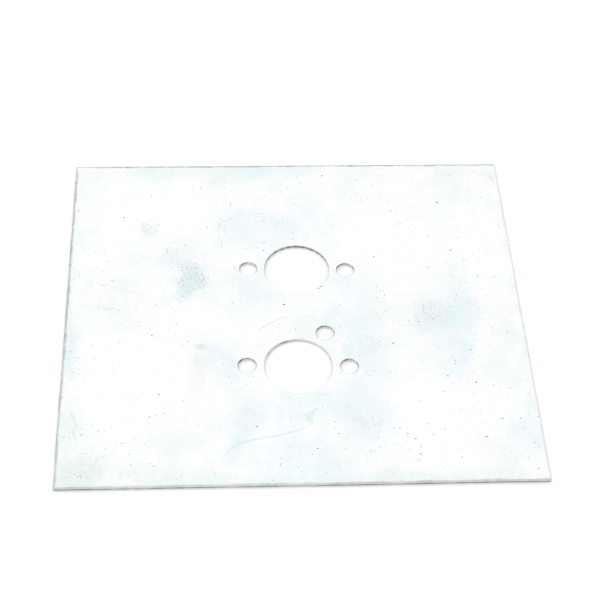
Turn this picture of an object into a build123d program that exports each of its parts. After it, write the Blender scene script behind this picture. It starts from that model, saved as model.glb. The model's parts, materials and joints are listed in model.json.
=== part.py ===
"""Rectangular cover plate: one sheared and punched piece of zinc-plated sheet steel.

Two pipe holes stand one behind the other near the middle of the sheet. Each has a stud hole at
its left and its right, on a stud circle, and a small line hole lies on the front stud circle,
behind the pipe hole and to its right. All the holes were punched in one set-up, which sat
slightly turned on the sheet.

The sheet was cut from above, so every cut edge has the same three zones from the top down: a
rolled-over rim, a straight land, and a break-out that leans back under the land.

Origin: centre of the bottom face. +X runs along the long edges, +Y to the back edge, +Z up.
Lengths are in millimetres, angles in degrees.
"""

import os
from math import radians, tan

from build123d import *

# Sheet
plate_length = 220.0
plate_width = 200.0
sheet_gauge = 1.5

# Pipe holes, one behind the other
pipe_hole_diameter = 32.0
pipe_hole_spacing = 60.5

# Stud holes, an opposite pair round each pipe hole
stud_hole_diameter = 8.5
stud_circle_diameter = 48.0
studs_per_circle = 2

# Line hole, on the front stud circle, turned from its right-hand stud hole
line_hole_diameter = 8.5
line_hole_angle = 57.0

# Middle of the hole pattern, from the middle of the sheet, and the turn of the set-up
pattern_x = 1.2
pattern_y = -3.5
pattern_turn = -1.65

# Zones of a cut edge: heights as shares of the gauge, as shearing leaves them
rollover_share = 0.2
break_out_share = 0.4
break_out_angle = 8.0

rollover_radius = rollover_share * sheet_gauge
break_out_height = break_out_share * sheet_gauge
break_out_set_back = break_out_height * tan(radians(break_out_angle))

with BuildPart() as cover_plate:
    with BuildSketch() as blank:
        Rectangle(plate_length, plate_width)
        with Locations(Location((pattern_x, pattern_y, 0), (0, 0, pattern_turn))):
            with GridLocations(0, pipe_hole_spacing, 1, 2):
                Circle(pipe_hole_diameter / 2, mode=Mode.SUBTRACT)
                with PolarLocations(stud_circle_diameter / 2, studs_per_circle):
                    Circle(stud_hole_diameter / 2, mode=Mode.SUBTRACT)
            with Locations((0, -pipe_hole_spacing / 2)):
                with PolarLocations(stud_circle_diameter / 2, 1, start_angle=line_hole_angle):
                    Circle(line_hole_diameter / 2, mode=Mode.SUBTRACT)
    extrude(amount=sheet_gauge)

    # Break-out round the underside, on the outline and on every hole
    underside = cover_plate.faces().sort_by(Axis.Z)[0]
    chamfer(
        underside.edges(),
        length=break_out_set_back,
        length2=break_out_height,
        reference=underside,
    )

    # Rolled-over rim round the top, on the outline and on every hole
    top = cover_plate.faces().sort_by(Axis.Z)[-1]
    fillet(top.edges(), radius=rollover_radius)

cover_plate.part.label = "cover_plate"

os.makedirs("parts", exist_ok=True)
export_step(cover_plate.part, "parts/cover_plate.step")
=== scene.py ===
"""Finish and stage for a rectangular cover plate of zinc-plated steel sheet.

The sheet is made again round the CAD node's sizes, with the cut edges as shears and punches
leave them; their darkness is partly the cut's own tone and partly painted shade and
reflection. Grit specks and handling scratches lie on it as pieces of their own.
Sizes are in metres. A value named in millimetres is multiplied by MM where it is used.
"""

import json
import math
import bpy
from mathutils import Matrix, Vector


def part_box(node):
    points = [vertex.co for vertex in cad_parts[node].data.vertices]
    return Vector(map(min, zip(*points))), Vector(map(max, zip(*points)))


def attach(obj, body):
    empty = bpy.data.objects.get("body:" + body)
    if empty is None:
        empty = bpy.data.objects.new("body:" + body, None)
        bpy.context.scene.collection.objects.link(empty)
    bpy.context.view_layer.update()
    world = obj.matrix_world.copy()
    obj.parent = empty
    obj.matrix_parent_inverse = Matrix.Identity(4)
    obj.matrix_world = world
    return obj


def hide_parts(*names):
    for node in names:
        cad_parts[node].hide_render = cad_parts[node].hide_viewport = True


bl_info = {
    "name": "Rectangular Cover Plate",
    "version": (1, 0, 0),
    "blender": (4, 5, 0),
    "location": "View3D > Sidebar > Cover Plate",
    "description": "Makes the sheared and punched sheet, its plated finish and its stage",
    "category": "Add Mesh",
}

import bmesh
import bpy
from bpy.props import FloatProperty, FloatVectorProperty, IntProperty, PointerProperty
from mathutils import Matrix, Vector, noise
from mathutils.geometry import delaunay_2d_cdt

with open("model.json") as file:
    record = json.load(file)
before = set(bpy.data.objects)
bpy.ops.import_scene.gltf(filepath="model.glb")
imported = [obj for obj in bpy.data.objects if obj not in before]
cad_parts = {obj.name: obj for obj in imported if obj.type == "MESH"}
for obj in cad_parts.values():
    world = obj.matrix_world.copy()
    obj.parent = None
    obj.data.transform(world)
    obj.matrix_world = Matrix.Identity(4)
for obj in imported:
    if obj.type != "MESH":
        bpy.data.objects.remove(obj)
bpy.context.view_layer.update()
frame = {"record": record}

MM = 0.001
BODY = "root"
NODE = "cover_plate"
SHEET_LOW, SHEET_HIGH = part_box(NODE)
GAUGE = SHEET_HIGH.z - SHEET_LOW.z
MOUNTS = {mount["name"]: mount for mount in frame["record"]["mounts"]}


# Places of the holes, from the frame


def mount_centre(name):
    """The middle of a mount, seen from above."""
    return Vector(MOUNTS[name]["pos_m"][:2])


def punched_holes():
    """Centre and radius of every hole: the bores, and the stud holes beside the rear pipe hole."""
    holes = []
    for mount in MOUNTS.values():
        if mount["kind"] == "bore":
            holes.append((mount_centre(mount["name"]), mount["dims"]["r_mm"] * MM))
    rear = mount_centre("rear_pipe_hole")
    along = (rear - mount_centre("front_pipe_hole")).normalized()
    across = Vector((along.y, -along.x))
    studs = MOUNTS["rear_studs"]["dims"]
    for side in (-1, 1):
        centre = rear + across * side * studs["pcd_mm"] / 2 * MM
        holes.append((centre, studs["hole_r_mm"] * MM))
    return holes


HOLES = punched_holes()


# Sizes and colours that a user would change


def length(name, description, millimetres):
    """A length property, stored in metres."""
    return FloatProperty(
        name=name, description=description, default=millimetres * MM, min=0.0, unit="LENGTH"
    )


def tint(name, description, hex_colour):
    """A colour property from an sRGB hex value."""
    return FloatVectorProperty(
        name=name,
        description=description,
        default=linear(hex_colour),
        size=3,
        min=0.0,
        max=1.0,
        subtype="COLOR",
    )


def linear(hex_colour):
    """sRGB hex to linear RGB."""
    parts = [int(hex_colour[i : i + 2], 16) / 255 for i in (1, 3, 5)]
    return [p / 12.92 if p <= 0.04045 else ((p + 0.055) / 1.055) ** 2.4 for p in parts]


class SheetSettings(bpy.types.PropertyGroup):
    """The cut edges of the sheet."""

    rollover_left: length("Left rollover", "Width of the rolled rim on the left edge", 1.5)
    rollover_right: length("Right rollover", "Width of the rolled rim on the right edge", 0.5)
    rollover_front: length("Front rollover", "Width of the rolled rim on the front edge", 1.1)
    rollover_back: length("Back rollover", "Width of the rolled rim on the back edge", 1.5)
    rollover_hole: length("Hole rollover", "Width of the rolled rim round a hole", 0.4)
    rollover_depth: length("Rollover depth", "How far a rolled rim drops", 0.3)
    break_out: length("Break-out height", "Height of the torn zone at the bottom", 0.58)
    set_back: length("Break-out set-back", "How far the torn zone leans in", 0.085)
    waviness: length("Edge waviness", "How far a cut wanders from its line", 0.12)
    step: length("Edge step", "Spacing of the points along a straight cut", 1.5)


class PlatingSettings(bpy.types.PropertyGroup):
    """Colours of the plating and its stains."""

    zinc: tint("Zinc", "Clear passivated zinc", "#FFFFFF")
    pale: tint("Pale film", "Thin passivate film", "#F1F9F8")
    blue: tint("Blue haze", "Thick passivate film", "#E8F5F9")
    teal: tint("Teal bloom", "Film over coarse grain", "#E9F5F5")
    green: tint("Green-grey film", "Film left by standing rinse water", "#EAF5F0")
    olive: tint("Olive drip", "Dried drip of chromate", "#E8EEE4")
    speck: tint("Etch pits", "Fine pits in the stains", "#9DB0AE")
    land: tint("Land", "Clean part of a cut edge", "#E9EDEB")
    # Dark end of the cut edges: the torn cut's own tone and painted shade on rims and hole walls
    soil_and_shade: tint("Soiled cut", "Oiled and torn part of a cut edge", "#363C3A")


class MarkSettings(bpy.types.PropertyGroup):
    """Specks and scratches."""

    speck_density: FloatProperty(
        name="Specks", description="Grit specks in each square centimetre", default=11.0, min=0.0
    )
    speck_small: length("Smallest speck", "Radius of the finest grit", 0.09)
    speck_large: length("Largest speck", "Radius of the coarsest scattered grit", 0.3)
    hair_density: FloatProperty(
        name="Hairlines", description="Hairlines in each square centimetre", default=0.8, min=0.0
    )
    scratch_width: length("Scratch width", "Width of a handling scratch", 0.25)
    seed: IntProperty(name="Seed", description="Seed of the scattered marks", default=7)


class StageSettings(bpy.types.PropertyGroup):
    """Camera, lamps and floor."""

    lens: FloatProperty(name="Lens", description="Focal length in mm", default=90.5, min=1.0)
    sky: FloatProperty(name="Sky", description="Strength of the even light", default=0.86, min=0.0)
    key: FloatProperty(name="Key lamp", description="Power in watts", default=4.2, min=0.0)


# Shared helpers


def add(tree, kind, inputs=None, **settings):
    """Adds a node, sets its settings, and fills or links its inputs, named or counted."""
    made = tree.nodes.new(kind)
    for name, value in settings.items():
        setattr(made, name, value)
    for name, value in (inputs or {}).items():
        socket = made.inputs[name]
        if isinstance(value, bpy.types.NodeSocket):
            tree.links.new(value, socket)
        else:
            socket.default_value = value
    return made


def put_on_part(piece):
    """Gives a finished piece its body."""
    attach(piece, BODY)


def part_material(name):
    """A material with an empty tree, and the place on the part in millimetres to build it on."""
    material = bpy.data.materials.new(name)
    material.use_nodes = True
    tree = material.node_tree
    tree.nodes.clear()
    here = add(tree, "ShaderNodeTexCoord").outputs["Object"]
    place = add(
        tree, "ShaderNodeVectorMath", {0: here, "Scale": 1 / MM}, operation="SCALE"
    ).outputs[0]
    return material, tree, place


def new_object(name, data):
    """An object at the origin, in the scene's collection."""
    made = bpy.data.objects.new(name, data)
    bpy.context.scene.collection.objects.link(made)
    return made


# The sheet


def waver(point, spacing, offset):
    """Smooth noise between -1 and 1 that changes over about one spacing, in metres."""
    at = Vector((point.x / spacing, point.y / spacing, offset))
    return noise.noise(at)


def outline_points(step):
    """Points of the sheared outline, anticlockwise from the front left corner."""
    corners = [
        Vector((SHEET_LOW.x, SHEET_LOW.y)),
        Vector((SHEET_HIGH.x, SHEET_LOW.y)),
        Vector((SHEET_HIGH.x, SHEET_HIGH.y)),
        Vector((SHEET_LOW.x, SHEET_HIGH.y)),
    ]
    points = []
    for start, end in zip(corners, corners[1:] + corners[:1]):
        count = round((end - start).length / step)
        points += [start.lerp(end, i / count) for i in range(count)]
    return points


def outline_inset(point, settings, share, extra):
    """A point of the outline moved in by a share of its side's rollover, plus a fixed length."""
    reach = Vector(((SHEET_HIGH.x - SHEET_LOW.x) / 2, (SHEET_HIGH.y - SHEET_LOW.y) / 2))
    middle = Vector(((SHEET_HIGH.x + SHEET_LOW.x) / 2, (SHEET_HIGH.y + SHEET_LOW.y) / 2))
    out = Vector(((point.x - middle.x) / reach.x, (point.y - middle.y) / reach.y))
    wide_x = settings.rollover_left if out.x < 0 else settings.rollover_right
    wide_y = settings.rollover_front if out.y < 0 else settings.rollover_back
    ragged = 1 + 0.5 * waver(point, 6 * MM, 3.0) + 0.3 * waver(point, 1.7 * MM, 8.0)
    wander = settings.waviness * waver(point, 14 * MM, 0.5)
    return Vector(
        (
            point.x - out.x * (wide_x * share * ragged + extra - wander),
            point.y - out.y * (wide_y * share * ragged + extra - wander),
        )
    )


def hole_angles(radius):
    """Angles round a hole, clockwise, so that the metal lies to the left as on the outline."""
    count = 8 * max(5, round(radius / (1.3 * MM)))
    return [2 * math.pi * i / count for i in range(count, 0, -1)]


def hole_inset(centre, radius, angle, settings, share, extra):
    """A point on a hole's rim, moved into the metal by a share of the rollover and a length."""
    out = Vector((math.cos(angle), math.sin(angle)))
    on_wall = centre + out * radius
    ragged = 1 + 0.3 * waver(on_wall, 4 * MM, 5.0) + 0.2 * waver(on_wall, 1.3 * MM, 6.0)
    return on_wall + out * (settings.rollover_hole * share * ragged + extra)


def edge_profile(settings):
    """The section of a cut from the top face down, as rings.

    Each ring is: share of the rollover's width, set-back, height, wander of that height, how far
    it belongs to the cut, and how dark the cut is there on the outline, a pipe hole and a small
    hole. The darkness is partly the cut's own tone and partly painted shade and reflection. A
    pipe hole's wall is light at the top and dark at the bottom, a small hole's is dark at the
    top and light at the bottom, and on the outline a dark rollover line and a dark torn zone
    stand in for reflection and for the shadow under the edge.
    """
    depth = settings.rollover_depth
    torn = settings.break_out
    profile = []
    for degrees, cut, darkness in (
        (0, 0.0, (0.4, 0.05, 0.3)),
        (25, 0.7, (0.5, 0.05, 0.5)),
        (50, 1.0, (0.5, 0.1, 0.8)),
        (72, 1.0, (0.4, 0.15, 1.0)),
        (90, 1.0, (0.3, 0.25, 1.0)),
    ):
        turn = math.radians(degrees)
        height = GAUGE - depth * (1 - math.cos(turn))
        profile.append((1 - math.sin(turn), 0.0, height, 0.0, cut, darkness))
    lean = settings.set_back
    profile.append((0.0, 0.0, torn + 0.04 * MM, 0.25, 1.0, (0.2, 0.7, 0.55)))
    profile.append((0.0, lean * 0.1, torn - 0.04 * MM, 0.25, 1.0, (0.95, 0.85, 0.2)))
    profile.append((0.0, lean, 0.0, 0.0, 1.0, (1.0, 0.9, 0.0)))
    profile.append((0.0, lean + 0.4 * MM, 0.0, 0.0, 0.0, (0.3, 0.3, 0.3)))
    return profile


def cut_loops(settings):
    """Every closed cut, as rings of (point, height, how far it is cut, how dark it is)."""
    profile = edge_profile(settings)
    loops = []
    outline = outline_points(settings.step)
    rings = []
    for share, extra, height, wander, cut, (dark, _, _) in profile:
        ring = []
        for point in outline:
            lift = wander * settings.break_out * waver(point, 5 * MM, 1.5)
            shade = dark * (1 + 0.6 * waver(point, 9 * MM, 4.5) + 0.6 * waver(point, 2.5 * MM, 7))
            # Above the torn zone each side's rim gets its own painted shade and reflection
            if height > settings.break_out:
                shade *= side_painted_shade(point)
            ring.append((outline_inset(point, settings, share, extra), height + lift, cut, shade))
        rings.append(ring)
    loops.append(rings)
    for centre, radius in HOLES:
        small = radius < 8 * MM
        rings = []
        for share, extra, height, wander, cut, darkness in profile:
            ring = []
            for angle in hole_angles(radius):
                point = hole_inset(centre, radius, angle, settings, share, extra)
                lift = wander * settings.break_out * waver(point, 3 * MM, 2.5)
                # Painted shade on each hole's wall, changing with the angle round it
                shade = darkness[2 if small else 1] * hole_painted_shade(centre, angle)
                shade *= 1 + 1.1 * waver(point, 2.2 * MM, 9)
                ring.append((point, height + lift, cut, shade))
            rings.append(ring)
        loops.append(rings)
    return loops


def side_painted_shade(point):
    """Painted shade and reflection on each sheared side's rim: darkest at the back and the left.
    """
    to_left = point.x - SHEET_LOW.x
    to_right = SHEET_HIGH.x - point.x
    to_back = SHEET_HIGH.y - point.y
    to_front = point.y - SHEET_LOW.y
    nearest = min(to_left, to_right, to_back, to_front)
    if nearest == to_back:
        return 0.85
    if nearest == to_left:
        return 0.7
    if nearest == to_front:
        return 0.5
    return 0.3


def hole_painted_shade(centre, angle):
    """Painted shade round a hole's wall: darkest to the back left and the front right."""
    level, swing = 0.66, 0.34
    if (centre - mount_centre("rear_pipe_hole")).length < MM:
        level, swing = 0.95, 0.1
    if (centre - mount_centre("front_pipe_hole")).length < MM:
        level, swing = 0.5, 0.35
    return level + swing * math.cos(2 * (angle - math.radians(150)))


def encloses(ring, point):
    """Whether a closed ring of vertices runs round a point, seen from above."""
    inside = False
    for first, second in zip(ring, ring[1:] + ring[:1]):
        start, end = first.co, second.co
        if (start.y > point.y) != (end.y > point.y):
            across = start.x + (point.y - start.y) * (end.x - start.x) / (end.y - start.y)
            if point.x < across:
                inside = not inside
    return inside


def fill_face(mesh, rings):
    """Fills the flat face inside the first ring and outside the others."""
    places = [vert.co.xy for ring in rings for vert in ring]
    verts = [vert for ring in rings for vert in ring]
    edges, start = [], 0
    for ring in rings:
        count = len(ring)
        edges += [(start + i, start + (i + 1) % count) for i in range(count)]
        start += count
    out = delaunay_2d_cdt(places, edges, [], 1, 1e-7)
    placed, triangles, sources = out[0], out[2], out[3]
    for triangle in triangles:
        middle = sum((placed[i] for i in triangle), Vector((0, 0))) / 3
        if not any(encloses(ring, middle) for ring in rings[1:]):
            mesh.faces.new([verts[sources[i][0]] for i in triangle])


def sheet_mesh(settings):
    """The closed sheet, with its cut edges as rings of points and its two faces filled."""
    mesh = bmesh.new()
    cut_layer = mesh.verts.layers.float.new("cut")
    # The dark attribute holds the cut's own tone and painted shade and reflection
    dark_layer = mesh.verts.layers.float.new("dark")
    top_rings, bottom_rings, rim_faces = [], [], []
    for rings in cut_loops(settings):
        made = []
        for ring in rings:
            row = []
            for point, height, cut, dark in ring:
                vert = mesh.verts.new((point.x, point.y, height))
                vert[cut_layer] = cut
                vert[dark_layer] = min(max(dark, 0.0), 1.0)
                row.append(vert)
            made.append(row)
        for upper, lower in zip(made, made[1:]):
            count = len(upper)
            for i in range(count):
                j = (i + 1) % count
                rim_faces.append(mesh.faces.new((upper[i], lower[i], lower[j], upper[j])))
        top_rings.append(made[0])
        bottom_rings.append(made[-1])
    fill_face(mesh, top_rings)
    fill_face(mesh, bottom_rings)
    bmesh.ops.recalc_face_normals(mesh, faces=mesh.faces)
    for face in rim_faces:
        face.smooth = True
    data = bpy.data.meshes.new("zinc_plated_sheet")
    mesh.to_mesh(data)
    mesh.free()
    data.set_sharp_from_angle(angle=math.radians(35))
    return data


# Plating


# Stains: x, y, half length, half width in mm, turn in degrees, strength
BLUE_HAZE = (
    (-12, 98, 33, 9, 0, 0.8),
    (-70, 98, 15, 8, 0, 0.6),
    (-12, 55, 27, 15, -6, 0.5),
    (-26, 61, 10, 8, 30, 0.35),
    (14, 58, 12, 20, 10, 0.25),
    (27, 6, 13, 34, -12, 0.3),
    (-16, 10, 14, 20, 0, 0.2),
    (32, -26, 14, 28, 8, 0.42),
    (28, -60, 18, 22, 0, 0.55),
    (0, -56, 24, 12, 0, 0.35),
    (5, -86, 36, 16, 0, 0.3),
    (-25, -69, 7, 20, -28, 0.6),
    (-36, -32, 11, 13, 0, 0.6),
    (79, -3, 12, 16, 10, 0.85),
    (76, -25, 10, 17, 0, 0.65),
    (83, 14, 5, 14, 0, 0.35),
    (105, -68, 10, 15, 0, 0.45),
    (5, -99, 80, 6, 0, 0.5),
    (-107, -24, 7, 20, 0, 0.75),
)
TEAL_BLOOM = (
    (-51, 20, 10, 11, 20, 1.0),
    (-59, 33, 7, 8, 20, 0.55),
    (68, -3, 13, 11, 0, 0.7),
    (3.5, -62, 3.0, 5, 0, 1.1),
    (-23, -61, 2.4, 4.6, 0, 0.45),
    (37, -24, 4, 4, 0, 0.4),
    (24, -22, 4, 3, 0, 0.4),
    (-20, 99, 12, 5, 0, 0.4),
)
GREEN_FILM = (
    (-104, -94, 22, 18, 20, 1.0),
    (-80, -97, 44, 12, 0, 0.4),
    (-111, 10, 6, 110, 0, 0.5),
    (-110, -70, 12, 22, 0, 0.6),
    (-84, 2, 24, 18, 0, 0.2),
    (-72, 56, 6, 5, 0, 0.3),
    (-99, -93, 3.2, 2.4, 0, 1.6),
    (82, 88, 8, 20, -25, 0.2),
    (106, 90, 8, 10, 0, 0.12),
    (58, 0, 16, 18, 0, 0.2),
    (60, -100, 60, 7, 0, 0.35),
    (-60, 96, 60, 9, 0, 0.2),
    (111, 0, 4, 100, 0, 0.3),
)
OLIVE_DRIP = (
    (-45.5, -21.6, 3.4, 2.2, 0, 1.0),
    (-47.2, -29, 2.6, 4, 0, 0.5),
    (-46.5, -38, 4.4, 13, 0, 0.28),
    (-39, -22, 6, 4, 0, 0.15),
)
CLEAN_ZINC = (
    (62, -66, 36, 40, 0, 1.0),
    (-80, -40, 42, 40, 0, 1.0),
    (45, 50, 36, 40, 0, 0.8),
    (-68, 72, 48, 30, 0, 0.7),
    (95, 35, 20, 36, 0, 0.8),
    (-62, -4, 26, 16, 0, 0.8),
    (-14, -6, 18, 14, 20, 0.7),
    (-88, 82, 20, 16, 0, 0.6),
)
# Places where the etch pits crowd together
PITTED = (
    (-51, 22, 13, 16, 10, 1.0),
    (64, -1, 16, 14, 0, 0.8),
    (81, 18, 5, 14, 0, 0.6),
    (-72, 56, 7, 5, 0, 0.9),
    (-84, -4, 18, 12, -20, 0.45),
    (-92, 12, 16, 16, 0, 0.3),
    (-100, -31, 7, 8, 0, 0.6),
    (-99, -92, 14, 9, 0, 0.8),
    (32, -67, 14, 4, 0, 0.6),
    (12, -52, 5, 4, 0, 0.7),
    (3, -62, 4, 6, 0, 0.7),
    (34, -24, 12, 9, 0, 0.35),
    (-30, 55, 10, 8, 0, 0.4),
    (-24, 28, 9, 8, 0, 0.5),
    (104, 88, 9, 12, 0, 0.5),
    (60, 45, 60, 50, 0, 0.2),
)
# Places where the roll lines show
ROLLED = (
    (55, 82, 60, 26, 0, 1.0),
    (34, -80, 22, 26, 0, 0.9),
    (-20, 80, 60, 22, 0, 0.5),
    (-60, -60, 40, 30, 0, 0.4),
    (-14, 10, 24, 40, 0, 0.4),
    (80, -5, 20, 40, 0, 0.7),
)
# Tide lines of dried rinse water: x, y, half length, half width in mm, turn, strength
TIDE_LINES = (
    (-12, 49, 26, 20, 10, 0.3),
    (-12, 52, 21, 15, 10, 0.15),
)


def in_oval(tree, place, x, y, half_length, half_width, turn):
    """A place measured from an oval's middle, so that the oval's border is at length 1."""
    return add(
        tree,
        "ShaderNodeMapping",
        {
            "Vector": place,
            "Location": (x, y, 0),
            "Rotation": (0, 0, math.radians(turn)),
            "Scale": (half_length, half_width, 1),
        },
        vector_type="TEXTURE",
    ).outputs[0]


def stain_mask(tree, place, stains):
    """How strongly a group of soft-edged oval stains covers a place, from 0 to 1."""
    total = None
    for x, y, half_length, half_width, turn, strength in stains:
        oval = in_oval(tree, place, x, y, half_length, half_width, turn)
        reach = add(tree, "ShaderNodeVectorMath", {0: oval}, operation="LENGTH")
        soft = add(
            tree,
            "ShaderNodeMapRange",
            {
                "Value": reach.outputs["Value"],
                "From Min": 1.25,
                "From Max": 0.35,
                "To Max": strength,
            },
            interpolation_type="SMOOTHSTEP",
        )
        cover = soft.outputs[0]
        total = cover if total is None else math_node(tree, "MAXIMUM", total, cover)
    return total


def tide_mask(tree, place, lines):
    """Thin rings along the back-left borders of oval stains, from 0 to 1."""
    total = None
    for x, y, half_length, half_width, turn, strength in lines:
        oval = in_oval(tree, place, x, y, half_length, half_width, turn)
        reach = add(tree, "ShaderNodeVectorMath", {0: oval}, operation="LENGTH")
        off = math_node(tree, "SUBTRACT", reach.outputs["Value"], 1.0)
        ring = ramp(tree, math_node(tree, "ABSOLUTE", off, 0.0), 0.03, 0.0)
        facing = add(
            tree, "ShaderNodeVectorMath", {0: oval, 1: (-0.6, 0.8, 0)}, operation="DOT_PRODUCT"
        ).outputs["Value"]
        kept = math_node(tree, "MULTIPLY", ring, ramp(tree, facing, 0.1, 0.7))
        shown = math_node(tree, "MULTIPLY", kept, strength)
        total = shown if total is None else math_node(tree, "MAXIMUM", total, shown)
    return total


def mixed(tree, factor, below, above):
    """The colour above laid over the colour below."""
    node = add(
        tree, "ShaderNodeMix", {"Factor": factor, 6: below, 7: above}, data_type="RGBA"
    )
    return node.outputs[2]


def math_node(tree, operation, first, second):
    """The result of one sum."""
    return add(tree, "ShaderNodeMath", {0: first, 1: second}, operation=operation).outputs[0]


def grain(tree, place, size_mm, detail=3.0, stretch=(1, 1, 1), roughness=0.55):
    """Noise whose blobs are about one size across, in mm, from 0 to 1."""
    stretched = add(
        tree, "ShaderNodeMapping", {"Vector": place, "Scale": stretch}, vector_type="POINT"
    )
    made = add(
        tree,
        "ShaderNodeTexNoise",
        {
            "Vector": stretched.outputs[0],
            "Scale": 1 / size_mm,
            "Detail": detail,
            "Roughness": roughness,
        },
    )
    return made.outputs["Fac"]


def ramp(tree, value, low, high, to_low=0.0, to_high=1.0):
    """A value stretched smoothly from one range to another."""
    made = add(
        tree,
        "ShaderNodeMapRange",
        {"Value": value, "From Min": low, "From Max": high, "To Min": to_low, "To Max": to_high},
        interpolation_type="SMOOTHSTEP",
    )
    return made.outputs[0]


def colour(value):
    """A colour property as a node's colour value."""
    return (*value, 1.0)


def broken(tree, mask, patchy, amount):
    """A stain's mask with its strength carried up and down by noise."""
    shift = math_node(tree, "MULTIPLY", math_node(tree, "SUBTRACT", patchy, 0.5), amount)
    reach = ramp(tree, mask, 0.0, 0.3)
    lifted = math_node(tree, "ADD", mask, math_node(tree, "MULTIPLY", shift, reach))
    return add(tree, "ShaderNodeClamp", {"Value": lifted}).outputs[0]


def shifted(tree, place, size_mm, reach_mm, detail):
    """A place moved about on the sheet by noise, up to about reach_mm."""
    field = add(
        tree,
        "ShaderNodeTexNoise",
        {"Vector": place, "Scale": 1 / size_mm, "Detail": detail},
    ).outputs["Color"]
    centred = add(
        tree, "ShaderNodeVectorMath", {0: field, 1: (0.5, 0.5, 0.5)}, operation="SUBTRACT"
    ).outputs[0]
    reach = (4 * reach_mm, 4 * reach_mm, 0)
    pushed = add(
        tree, "ShaderNodeVectorMath", {0: centred, 1: reach}, operation="MULTIPLY"
    ).outputs[0]
    return add(
        tree, "ShaderNodeVectorMath", {0: place, 1: pushed}, operation="ADD"
    ).outputs[0]


def zinc_plated_steel(settings):
    """Electroplated zinc with a thin passivate film, on cold-rolled steel sheet.

    The zinc is nearly white and softly shiny. The film tints it blue to green where it dried
    thick, and the roll lines of the sheet show through as faint streaks from front to back.
    """
    material, tree, place = part_material("zinc_plated_cold_rolled_steel")
    flat = add(
        tree, "ShaderNodeVectorMath", {0: place, 1: (1, 1, 0)}, operation="MULTIPLY"
    ).outputs[0]
    height = add(tree, "ShaderNodeSeparateXYZ", {0: place}).outputs["Z"]
    on_top = ramp(tree, height, 0.3, 0.9)

    # Stains keep to the top face, and their edges wander by a few millimetres
    stained = shifted(tree, flat, 22, 5, 3.0)
    stained = shifted(tree, stained, 4, 1, 2.0)
    cloudy = grain(tree, place, 11, detail=8.0, roughness=0.68)
    brushed = grain(tree, place, 1.8, detail=3.0, stretch=(1, 0.3, 1), roughness=0.6)
    patchy = math_node(
        tree,
        "ADD",
        math_node(tree, "MULTIPLY", cloudy, 0.55),
        math_node(tree, "MULTIPLY", brushed, 0.45),
    )
    fine = grain(tree, place, 0.9, detail=4.0, roughness=0.7)

    def stain(group, where, noise_field, amount):
        mask = broken(tree, stain_mask(tree, where, group), noise_field, amount)
        return math_node(tree, "MULTIPLY", mask, on_top)

    blue = stain(BLUE_HAZE, stained, patchy, 2.2)
    teal = stain(TEAL_BLOOM, stained, fine, 1.6)
    green = stain(GREEN_FILM, stained, patchy, 2.2)
    olive = stain(OLIVE_DRIP, flat, fine, 1.2)
    clean = stain(CLEAN_ZINC, stained, patchy, 1.2)
    pitted = stain(PITTED, stained, patchy, 1.6)
    rolled = stain(ROLLED, stained, patchy, 0.6)
    tide = math_node(tree, "MULTIPLY", tide_mask(tree, stained, TIDE_LINES), on_top)

    # Thin film in clouds about 20 mm across, and the roll lines 0.6 mm apart
    cloud = ramp(tree, grain(tree, place, 24, detail=10.0, roughness=0.74), 0.38, 0.68)
    film = math_node(tree, "MULTIPLY", cloud, math_node(tree, "SUBTRACT", 1.0, clean))
    lines = grain(tree, place, 0.8, detail=4.0, stretch=(1, 0.05, 1), roughness=0.65)
    streak = math_node(
        tree, "MULTIPLY", ramp(tree, lines, 0.48, 0.72), math_node(tree, "ADD", rolled, 0.15)
    )

    face = mixed(tree, film, colour(settings.zinc), colour(settings.pale))
    face = mixed(tree, blue, face, colour(settings.blue))
    face = mixed(tree, green, face, colour(settings.green))
    face = mixed(tree, teal, face, colour(settings.teal))
    face = mixed(tree, olive, face, colour(settings.olive))
    face = mixed(tree, math_node(tree, "MULTIPLY", tide, patchy), face, colour(settings.speck))
    face = mixed(tree, math_node(tree, "MULTIPLY", streak, 0.4), face, colour(settings.green))

    # Pepper of fine etch pits, each about 0.5 mm across, and more of them where they crowd
    crowd = math_node(tree, "MULTIPLY", pitted, 0.12)
    seed = math_node(tree, "ADD", grain(tree, place, 0.75, detail=2.0, roughness=0.6), crowd)
    pepper = ramp(tree, seed, 0.66, 0.74)
    strength = math_node(tree, "ADD", math_node(tree, "MULTIPLY", pitted, 0.45), 0.2)
    peppered = math_node(tree, "MULTIPLY", pepper, strength)
    face = mixed(tree, peppered, face, colour(settings.speck))

    # Cut edges, as dark as the sheet's own attribute says: partly the cut's own tone and partly
    # painted shade and reflection on the rims and hole walls
    dark = add(tree, "ShaderNodeAttribute", attribute_name="dark").outputs["Fac"]
    cut = add(tree, "ShaderNodeAttribute", attribute_name="cut").outputs["Fac"]
    rim = mixed(tree, dark, colour(settings.land), colour(settings.soil_and_shade))
    face = mixed(tree, cut, face, rim)

    # Film and grain change the gloss a little, and the rolled surface has a fine tooth
    dull = math_node(tree, "MULTIPLY", math_node(tree, "MAXIMUM", teal, cut), 0.18)
    gloss = math_node(tree, "ADD", dull, ramp(tree, patchy, 0.3, 0.7, 0.36, 0.46))
    tooth = math_node(tree, "ADD", fine, math_node(tree, "MULTIPLY", lines, 0.6))
    bump = add(
        tree,
        "ShaderNodeBump",
        {"Strength": 0.12, "Distance": 0.02 * MM, "Height": tooth},
    ).outputs[0]
    shader = add(
        tree,
        "ShaderNodeBsdfPrincipled",
        {"Base Color": face, "Metallic": 0.75, "Roughness": gloss, "Normal": bump},
    )
    add(tree, "ShaderNodeOutputMaterial", {"Surface": shader.outputs[0]})
    return material


class COVERPLATE_OT_sheet(bpy.types.Operator):
    """Make the sheared, punched and plated sheet in place of the plain solid"""

    bl_idname = "cover_plate.sheet"
    bl_label = "Sheet"

    def execute(self, context):
        sheet = new_object("zinc_plated_sheet", sheet_mesh(context.scene.cover_plate_sheet))
        sheet.data.materials.append(zinc_plated_steel(context.scene.cover_plate_plating))
        put_on_part(sheet)
        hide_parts(NODE)
        return {"FINISHED"}


# Specks


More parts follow.
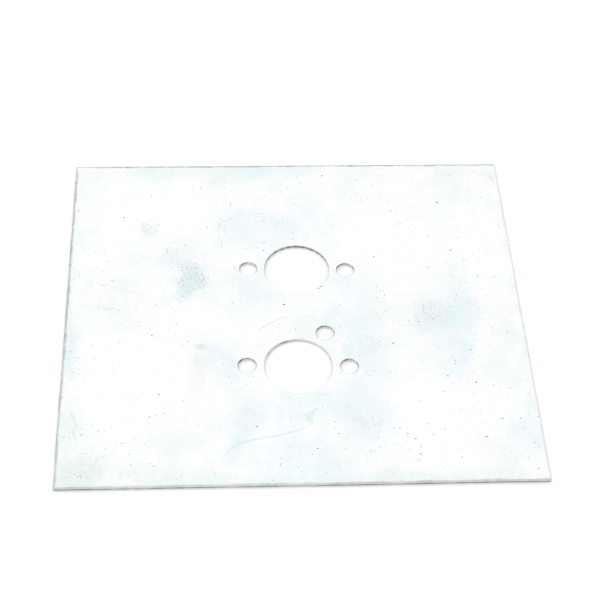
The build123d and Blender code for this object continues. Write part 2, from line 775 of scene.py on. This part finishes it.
# Coarse specks: x, y and radius in mm
SPECKS = (
    (-84, 63, 0.55),
    (-107.5, 68, 0.5),
    (-42, 55.5, 0.4),
    (-35, 45, 0.42),
    (-35, 42.5, 0.3),
    (-13.5, 45, 0.42),
    (-14, 39.5, 0.4),
    (-44, 20.5, 0.35),
    (-88.5, 20.5, 0.4),
    (-66, 58, 0.3),
    (-5, 4, 0.6),
    (18, 92, 0.5),
    (52, 66, 0.45),
    (76.5, 72, 0.6),
    (41, 34.5, 0.4),
    (80, 38.5, 0.5),
    (91.5, 21, 0.4),
    (86, 32, 0.35),
    (22, 3, 0.35),
    (40.5, 7.5, 0.35),
    (-68.5, -14.3, 0.45),
    (-64.5, -49.5, 0.45),
    (-20, -68.5, 0.45),
    (-98.2, -93.1, 0.3),
    (-99.4, -93.8, 0.4),
    (-100.3, -92.6, 0.28),
    (-97.6, -94.2, 0.25),
    (46, -21, 0.5),
    (59.5, -8, 0.5),
    (82.5, -25.5, 0.4),
    (70, -41, 0.45),
    (83, -45, 0.5),
    (51.5, -76.5, 0.5),
    (53, -85, 0.5),
    (7, -81, 0.45),
    (92.5, -66, 0.5),
    (17, -73, 0.4),
    (84, -76, 0.45),
    (105, -94, 0.4),
    (13.6, 15.3, 0.45),
    (12.3, 14.1, 0.4),
)


def group_with(name, inputs):
    """A Geometry Nodes group with a geometry socket each way and named inputs."""
    tree = bpy.data.node_groups.new(name, "GeometryNodeTree")
    tree.interface.new_socket("Geometry", in_out="INPUT", socket_type="NodeSocketGeometry")
    for socket_name, socket_type in inputs:
        tree.interface.new_socket(socket_name, in_out="INPUT", socket_type=socket_type)
    tree.interface.new_socket("Geometry", in_out="OUTPUT", socket_type="NodeSocketGeometry")
    return tree


def run_tree(piece, tree, values):
    """Runs a tree on a piece once and keeps the result as its plain mesh."""
    modifier = piece.modifiers.new(tree.name, "NODES")
    modifier.node_group = tree
    for item in tree.interface.items_tree:
        if item.in_out == "INPUT" and item.name in values:
            modifier[item.identifier] = values[item.name]
    graph = bpy.context.evaluated_depsgraph_get()
    result = bpy.data.meshes.new_from_object(piece.evaluated_get(graph))
    piece.modifiers.remove(modifier)
    result.name = piece.name
    piece.data = result


def top_face_points(tree, sheet, density, seed):
    """Random points on the sheet's top face."""
    info = add(tree, "GeometryNodeObjectInfo", {"Object": sheet})
    normal = add(tree, "GeometryNodeInputNormal").outputs[0]
    up = add(tree, "ShaderNodeSeparateXYZ", {0: normal}).outputs["Z"]
    is_top = add(tree, "FunctionNodeCompare", {0: up, 1: 0.99}, operation="GREATER_THAN")
    scatter = add(
        tree,
        "GeometryNodeDistributePointsOnFaces",
        {
            "Mesh": info.outputs["Geometry"],
            "Selection": is_top.outputs[0],
            "Density": density,
            "Seed": seed,
        },
        distribute_method="RANDOM",
    )
    return scatter.outputs["Points"]


def crowded(tree, points, seed, size, low, high):
    """Thins points by noise, so that they lie in crowds about one size across."""
    place = add(tree, "GeometryNodeInputPosition").outputs[0]
    field = add(tree, "ShaderNodeTexNoise", {"Vector": place, "Scale": 1 / size, "Detail": 2.0})
    chance = ramp(tree, field.outputs["Fac"], low, high)
    draw = add(tree, "FunctionNodeRandomValue", {"Seed": seed}, data_type="FLOAT").outputs[1]
    drop = add(tree, "FunctionNodeCompare", {0: draw, 1: chance}, operation="GREATER_THAN")
    thinned = add(
        tree,
        "GeometryNodeDeleteGeometry",
        {"Geometry": points, "Selection": drop.outputs[0]},
        domain="POINT",
    )
    return thinned.outputs[0]


def speck_tree():
    """Scattered specks on the top face, joined with the placed ones that come in as points."""
    tree = group_with(
        "grit_specks",
        (
            ("Sheet", "NodeSocketObject"),
            ("Density", "NodeSocketFloat"),
            ("Smallest", "NodeSocketFloat"),
            ("Largest", "NodeSocketFloat"),
            ("Seed", "NodeSocketInt"),
            ("Material", "NodeSocketMaterial"),
        ),
    )
    given = add(tree, "NodeGroupInput").outputs
    scattered = top_face_points(tree, given["Sheet"], given["Density"], given["Seed"])
    scattered = crowded(tree, scattered, 11, 30 * MM, 0.3, 0.75)
    draw = add(tree, "FunctionNodeRandomValue", {"Seed": 5}, data_type="FLOAT").outputs[1]
    small_most = math_node(tree, "POWER", draw, 3.0)
    radius = add(
        tree,
        "ShaderNodeMapRange",
        {"Value": small_most, "To Min": given["Smallest"], "To Max": given["Largest"]},
    ).outputs[0]
    sized = add(
        tree,
        "GeometryNodeStoreNamedAttribute",
        {"Geometry": scattered, "Name": "size", "Value": radius},
        data_type="FLOAT",
        domain="POINT",
    ).outputs[0]
    placed = add(tree, "GeometryNodeMeshToPoints", {"Mesh": given["Geometry"]}).outputs[0]
    join = add(tree, "GeometryNodeJoinGeometry")
    tree.links.new(placed, join.inputs[0])
    tree.links.new(sized, join.inputs[0])

    # A speck is a low lump with a few facets, longer one way than the other
    lump = add(
        tree, "GeometryNodeMeshIcoSphere", {"Radius": 1.0, "Subdivisions": 1}
    ).outputs[0]
    size = add(
        tree, "GeometryNodeInputNamedAttribute", {"Name": "size"}, data_type="FLOAT"
    ).outputs[0]
    squash = add(
        tree,
        "FunctionNodeRandomValue",
        {0: (0.6, 0.7, 0.12), 1: (1.0, 1.3, 0.2), "Seed": 8},
        data_type="FLOAT_VECTOR",
    ).outputs[0]
    scale = add(
        tree, "ShaderNodeVectorMath", {0: squash, "Scale": size}, operation="SCALE"
    ).outputs[0]
    turn = add(
        tree,
        "FunctionNodeRandomValue",
        {0: (0, 0, 0), 1: (0, 0, 2 * math.pi), "Seed": 9},
        data_type="FLOAT_VECTOR",
    ).outputs[0]
    placed_lumps = add(
        tree,
        "GeometryNodeInstanceOnPoints",
        {"Points": join.outputs[0], "Instance": lump, "Rotation": turn, "Scale": scale},
    ).outputs[0]
    real = add(tree, "GeometryNodeRealizeInstances", {"Geometry": placed_lumps}).outputs[0]
    done = add(
        tree, "GeometryNodeSetMaterial", {"Geometry": real, "Material": given["Material"]}
    ).outputs[0]
    add(tree, "NodeGroupOutput", {"Geometry": done})
    return tree


def oxide_grit():
    """Grit caught under the plating and darkened by oxide.

    Matt dark grey-green points, a little lighter where the zinc still covers them.
    """
    material, tree, place = part_material("oxidised_grit")
    cover = ramp(tree, grain(tree, place, 5, detail=3.0), 0.35, 0.65)
    shade = mixed(tree, cover, (*linear("#2E3634"), 1), (*linear("#8E9B98"), 1))
    shader = add(
        tree,
        "ShaderNodeBsdfPrincipled",
        {"Base Color": shade, "Metallic": 0.3, "Roughness": 0.7},
    )
    add(tree, "ShaderNodeOutputMaterial", {"Surface": shader.outputs[0]})
    return material


class COVERPLATE_OT_specks(bpy.types.Operator):
    """Scatter and place the grit specks on the top face"""

    bl_idname = "cover_plate.specks"
    bl_label = "Grit specks"

    def execute(self, context):
        settings = context.scene.cover_plate_marks
        data = bpy.data.meshes.new("grit_specks")
        data.from_pydata([(x * MM, y * MM, SHEET_HIGH.z) for x, y, _ in SPECKS], [], [])
        size = data.attributes.new("size", "FLOAT", "POINT")
        size.data.foreach_set("value", [radius * MM for _, _, radius in SPECKS])
        piece = new_object("grit_specks", data)
        square_centimetre = (10 * MM) ** 2
        run_tree(
            piece,
            speck_tree(),
            {
                "Sheet": bpy.data.objects["zinc_plated_sheet"],
                "Density": settings.speck_density / square_centimetre,
                "Smallest": settings.speck_small,
                "Largest": settings.speck_large,
                "Seed": settings.seed,
                "Material": oxide_grit(),
            },
        )
        put_on_part(piece)
        return {"FINISHED"}


# Scratches


# Handling scratches: width as a share of the usual one, then points in mm
SCRATCHES = (
    (1.0, (-36, -85), (-30, -79), (-23, -76), (-10, -73.5), (4, -69)),
    (0.8, (-19, -13), (-14, -9), (-8, -5.5), (-3, -3.2)),
    (0.7, (34, 1), (38, -1), (41, -5), (42, -10)),
    (1.0, (-105, -57), (-103, -62), (-101.5, -66), (-102.5, -70), (-101, -74)),
    (0.9, (-107, -33), (-104, -36), (-101, -37)),
    (0.8, (105, 92), (106.5, 90), (108.5, 89.5)),
    (0.8, (105.5, 89), (107, 87.5), (109, 87)),
    (0.7, (106, 93), (107, 91), (107.5, 88)),
    (0.9, (-28.5, 29), (-27.5, 27), (-26.5, 26)),
    (0.7, (50, 55), (57, 58), (64, 63)),
    (0.6, (-25, 40), (-20, 42), (-15, 41)),
)


def scratch_tree():
    """Placed scratches as ridges along their curves, with scattered hairlines round them."""
    tree = group_with(
        "handling_scratches",
        (
            ("Sheet", "NodeSocketObject"),
            ("Width", "NodeSocketFloat"),
            ("Density", "NodeSocketFloat"),
            ("Seed", "NodeSocketInt"),
            ("Lift", "NodeSocketFloat"),
            ("Material", "NodeSocketMaterial"),
        ),
    )
    given = add(tree, "NodeGroupInput").outputs

    # A placed scratch bends smoothly, shakes a little and thins to nothing at its ends
    line = add(tree, "GeometryNodeMeshToCurve", {"Mesh": given["Geometry"]}).outputs[0]
    smooth = add(
        tree, "GeometryNodeCurveSplineType", {"Curve": line}, spline_type="CATMULL_ROM"
    ).outputs[0]
    fine = add(
        tree, "GeometryNodeResampleCurve", {"Curve": smooth, "Length": 0.7 * MM}, mode="LENGTH"
    ).outputs[0]
    place = add(tree, "GeometryNodeInputPosition").outputs[0]
    shake = add(
        tree, "ShaderNodeTexNoise", {"Vector": place, "Scale": 1 / (2.5 * MM), "Detail": 2.0}
    ).outputs["Color"]
    centred = add(
        tree, "ShaderNodeVectorMath", {0: shake, 1: (0.5, 0.5, 0.5)}, operation="SUBTRACT"
    ).outputs[0]
    sideways = add(
        tree,
        "ShaderNodeVectorMath",
        {0: centred, 1: (0.8 * MM, 0.8 * MM, 0.0)},
        operation="MULTIPLY",
    ).outputs[0]
    shaken = add(
        tree, "GeometryNodeSetPosition", {"Geometry": fine, "Offset": sideways}
    ).outputs[0]

    # A hairline is one short straight stroke
    stroke = add(
        tree,
        "GeometryNodeCurvePrimitiveLine",
        {"Start": (-0.5, 0, 0), "End": (0.5, 0, 0)},
    ).outputs[0]
    stroke = add(
        tree, "GeometryNodeResampleCurve", {"Curve": stroke, "Count": 6}, mode="COUNT"
    ).outputs[0]
    points = top_face_points(tree, given["Sheet"], given["Density"], given["Seed"])
    points = crowded(tree, points, 21, 40 * MM, 0.35, 0.7)
    flat = add(
        tree, "GeometryNodeSetPosition", {"Geometry": points, "Offset": (0, 0, -GAUGE)}
    ).outputs[0]
    turn = add(
        tree,
        "FunctionNodeRandomValue",
        {0: (0, 0, -0.4), 1: (0, 0, 0.4), "Seed": 3},
        data_type="FLOAT_VECTOR",
    ).outputs[0]
    reach = add(
        tree,
        "FunctionNodeRandomValue",
        {2: 1.0 * MM, 3: 5 * MM, "Seed": 4},
        data_type="FLOAT",
    ).outputs[1]
    strokes = add(
        tree,
        "GeometryNodeInstanceOnPoints",
        {"Points": flat, "Instance": stroke, "Rotation": turn, "Scale": reach},
    ).outputs[0]
    strokes = add(tree, "GeometryNodeRealizeInstances", {"Geometry": strokes}).outputs[0]
    strokes = add(
        tree,
        "GeometryNodeStoreNamedAttribute",
        {"Geometry": strokes, "Name": "share", "Value": 0.4},
        data_type="FLOAT",
        domain="POINT",
    ).outputs[0]

    join = add(tree, "GeometryNodeJoinGeometry")
    tree.links.new(shaken, join.inputs[0])
    tree.links.new(strokes, join.inputs[0])
    along = add(tree, "GeometryNodeSplineParameter").outputs["Factor"]
    from_end = math_node(tree, "MULTIPLY", along, math_node(tree, "SUBTRACT", 1.0, along))
    thin = ramp(tree, from_end, 0.0, 0.12, 0.15, 1.0)
    share = add(
        tree, "GeometryNodeInputNamedAttribute", {"Name": "share"}, data_type="FLOAT"
    ).outputs[0]
    half = math_node(tree, "MULTIPLY", given["Width"], 0.5)
    radius = math_node(tree, "MULTIPLY", math_node(tree, "MULTIPLY", share, thin), half)
    profile = add(
        tree, "GeometryNodeCurvePrimitiveCircle", {"Resolution": 4, "Radius": 1.0}, mode="RADIUS"
    ).outputs["Curve"]
    ridge = add(
        tree,
        "GeometryNodeCurveToMesh",
        {
            "Curve": join.outputs[0],
            "Profile Curve": profile,
            "Scale": radius,
            "Fill Caps": True,
        },
    ).outputs[0]
    low = add(
        tree, "GeometryNodeTransform", {"Geometry": ridge, "Scale": (1.0, 1.0, 0.15)}
    ).outputs[0]
    lift = add(tree, "ShaderNodeCombineXYZ", {"Z": given["Lift"]}).outputs[0]
    lifted = add(
        tree, "GeometryNodeSetPosition", {"Geometry": low, "Offset": lift}
    ).outputs[0]
    real = add(tree, "GeometryNodeRealizeInstances", {"Geometry": lifted}).outputs[0]
    done = add(
        tree, "GeometryNodeSetMaterial", {"Geometry": real, "Material": given["Material"]}
    ).outputs[0]
    add(tree, "NodeGroupOutput", {"Geometry": done})
    return tree


def scored_zinc():
    """Zinc scored by handling: the film is gone, and the soft metal is ploughed up and dull."""
    material, tree, place = part_material("scored_zinc")
    worn = ramp(tree, grain(tree, place, 3, detail=3.0), 0.35, 0.65)
    shade = mixed(tree, worn, (*linear("#C9D2D0"), 1), (*linear("#E9F0EE"), 1))
    shader = add(
        tree,
        "ShaderNodeBsdfPrincipled",
        {"Base Color": shade, "Metallic": 0.7, "Roughness": 0.5},
    )
    add(tree, "ShaderNodeOutputMaterial", {"Surface": shader.outputs[0]})
    return material


class COVERPLATE_OT_scratches(bpy.types.Operator):
    """Draw the handling scratches and scatter the hairlines"""

    bl_idname = "cover_plate.scratches"
    bl_label = "Handling scratches"

    def execute(self, context):
        settings = context.scene.cover_plate_marks
        points, edges, shares = [], [], []
        for share, *places in SCRATCHES:
            first = len(points)
            points += [(x * MM, y * MM, 0.0) for x, y in places]
            edges += [(i, i + 1) for i in range(first, len(points) - 1)]
            shares += [share] * len(places)
        data = bpy.data.meshes.new("handling_scratches")
        data.from_pydata(points, edges, [])
        data.attributes.new("share", "FLOAT", "POINT").data.foreach_set("value", shares)
        piece = new_object("handling_scratches", data)
        square_centimetre = (10 * MM) ** 2
        run_tree(
            piece,
            scratch_tree(),
            {
                "Sheet": bpy.data.objects["zinc_plated_sheet"],
                "Width": settings.scratch_width,
                "Density": settings.hair_density / square_centimetre,
                "Seed": settings.seed + 1,
                "Lift": SHEET_HIGH.z,
                "Material": scored_zinc(),
            },
        )
        put_on_part(piece)
        return {"FINISHED"}


# Stage


CAMERA_PLACE = Vector((-36.886, -469.0, 557.923)) * MM
CAMERA_DOWN = math.radians(49.375)
CAMERA_YAW = math.radians(4.774)
CAMERA_ROLL = math.radians(2.967)
SENSOR_MM = 36
KEY_PLACE = Vector((-0.5, 0.4, 1.2))
KEY_SIZE = 0.8
FLOOR_REACH = 1.5
# A guess, set so that a dark line shows under the front edge as it does in the photo
FLOOR_DROP = 0.4 * MM


def camera(settings):
    """The camera, above the front edge and a little to the left."""
    data = bpy.data.cameras.new("camera")
    data.sensor_width = SENSOR_MM
    data.lens = settings.lens
    data.clip_end = 20
    made = new_object("camera", data)
    turn = (
        Matrix.Rotation(-CAMERA_YAW, 4, "Z")
        @ Matrix.Rotation(math.pi / 2 - CAMERA_DOWN, 4, "X")
        @ Matrix.Rotation(CAMERA_ROLL, 4, "Z")
    )
    made.matrix_world = Matrix.Translation(CAMERA_PLACE) @ turn
    bpy.context.scene.camera = made


def lamp(name, place, size, power):
    """A square soft lamp that faces the plate."""
    data = bpy.data.lights.new(name, "AREA")
    data.shape = "SQUARE"
    data.size = size
    data.energy = power
    made = new_object(name, data)
    made.matrix_world = Matrix.Translation(place) @ (
        (-place).to_track_quat("-Z", "Y").to_matrix().to_4x4()
    )
    return made


def seen_directly(tree):
    """1 for camera, glossy and transmission rays, and 0 for the rays that light the scene."""
    path = add(tree, "ShaderNodeLightPath").outputs
    shiny = math_node(tree, "MAXIMUM", path["Is Glossy Ray"], path["Is Transmission Ray"])
    return math_node(tree, "MAXIMUM", path["Is Camera Ray"], shiny)


def white_world(settings):
    """A white backdrop that lights the scene evenly, at the sky's strength."""
    world = bpy.data.worlds.new("white_studio")
    world.use_nodes = True
    tree = world.node_tree
    tree.nodes.clear()
    strength = add(
        tree,
        "ShaderNodeMapRange",
        {"Value": seen_directly(tree), "To Min": settings.sky, "To Max": 1.0},
    )
    light = add(
        tree,
        "ShaderNodeBackground",
        {"Color": (1, 1, 1, 1), "Strength": strength.outputs[0]},
    )
    add(tree, "ShaderNodeOutputWorld", {"Surface": light.outputs[0]})
    bpy.context.scene.world = world


def pale_floor():
    """A white table top, large enough to fill the view, that keeps the plate's shadow."""
    data = bpy.data.meshes.new("floor")
    data.from_pydata(
        [
            (-FLOOR_REACH, -FLOOR_REACH, -FLOOR_DROP),
            (FLOOR_REACH, -FLOOR_REACH, -FLOOR_DROP),
            (FLOOR_REACH, FLOOR_REACH, -FLOOR_DROP),
            (-FLOOR_REACH, FLOOR_REACH, -FLOOR_DROP),
        ],
        [],
        [(0, 1, 2, 3)],
    )
    floor = new_object("floor", data)
    material = bpy.data.materials.new("white_laminate")
    material.use_nodes = True
    tree = material.node_tree
    tree.nodes.clear()
    matt = add(tree, "ShaderNodeBsdfDiffuse", {"Color": (0.86, 0.86, 0.86, 1)})
    glow = add(
        tree,
        "ShaderNodeEmission",
        {"Color": (1, 1, 1, 1), "Strength": math_node(tree, "MULTIPLY", seen_directly(tree), 0.2)},
    )
    both = add(tree, "ShaderNodeAddShader", {0: matt.outputs[0], 1: glow.outputs[0]})
    add(tree, "ShaderNodeOutputMaterial", {"Surface": both.outputs[0]})
    data.materials.append(material)


class COVERPLATE_OT_stage(bpy.types.Operator):
    """Set up the camera, the key lamp, the white floor and the white backdrop"""

    bl_idname = "cover_plate.stage"
    bl_label = "Stage"

    def execute(self, context):
        settings = context.scene.cover_plate_stage
        camera(settings)
        white_world(settings)
        pale_floor()
        key = lamp("key", KEY_PLACE, KEY_SIZE, settings.key)
        key.visible_glossy = False
        context.scene.view_settings.view_transform = "Standard"
        return {"FINISHED"}


# Add-on


class COVERPLATE_PT_panel(bpy.types.Panel):
    """Lists the pieces of the cover plate"""

    bl_idname = "COVERPLATE_PT_panel"
    bl_label = "Cover Plate"
    bl_space_type = "VIEW_3D"
    bl_region_type = "UI"
    bl_category = "Cover Plate"

    def draw(self, context):
        scene = context.scene
        for settings in (
            scene.cover_plate_sheet,
            scene.cover_plate_plating,
            scene.cover_plate_marks,
            scene.cover_plate_stage,
        ):
            box = self.layout.box()
            for name in settings.__annotations__:
                box.prop(settings, name)
        for operator in OPERATORS:
            self.layout.operator(operator.bl_idname)


SETTINGS = {
    "cover_plate_sheet": SheetSettings,
    "cover_plate_plating": PlatingSettings,
    "cover_plate_marks": MarkSettings,
    "cover_plate_stage": StageSettings,
}
OPERATORS = (
    COVERPLATE_OT_sheet,
    COVERPLATE_OT_specks,
    COVERPLATE_OT_scratches,
    COVERPLATE_OT_stage,
)


def register():
    for name, group in SETTINGS.items():
        bpy.utils.register_class(group)
        setattr(bpy.types.Scene, name, PointerProperty(type=group))
    for cls in (*OPERATORS, COVERPLATE_PT_panel):
        bpy.utils.register_class(cls)


def unregister():
    for cls in (COVERPLATE_PT_panel, *reversed(OPERATORS)):
        bpy.utils.unregister_class(cls)
    for name, group in reversed(SETTINGS.items()):
        delattr(bpy.types.Scene, name)
        bpy.utils.unregister_class(group)


def main():
    """Makes every piece in order."""
    register()
    bpy.ops.cover_plate.sheet()
    bpy.ops.cover_plate.specks()
    bpy.ops.cover_plate.scratches()
    bpy.ops.cover_plate.stage()


if __name__ == "__main__":
    main()
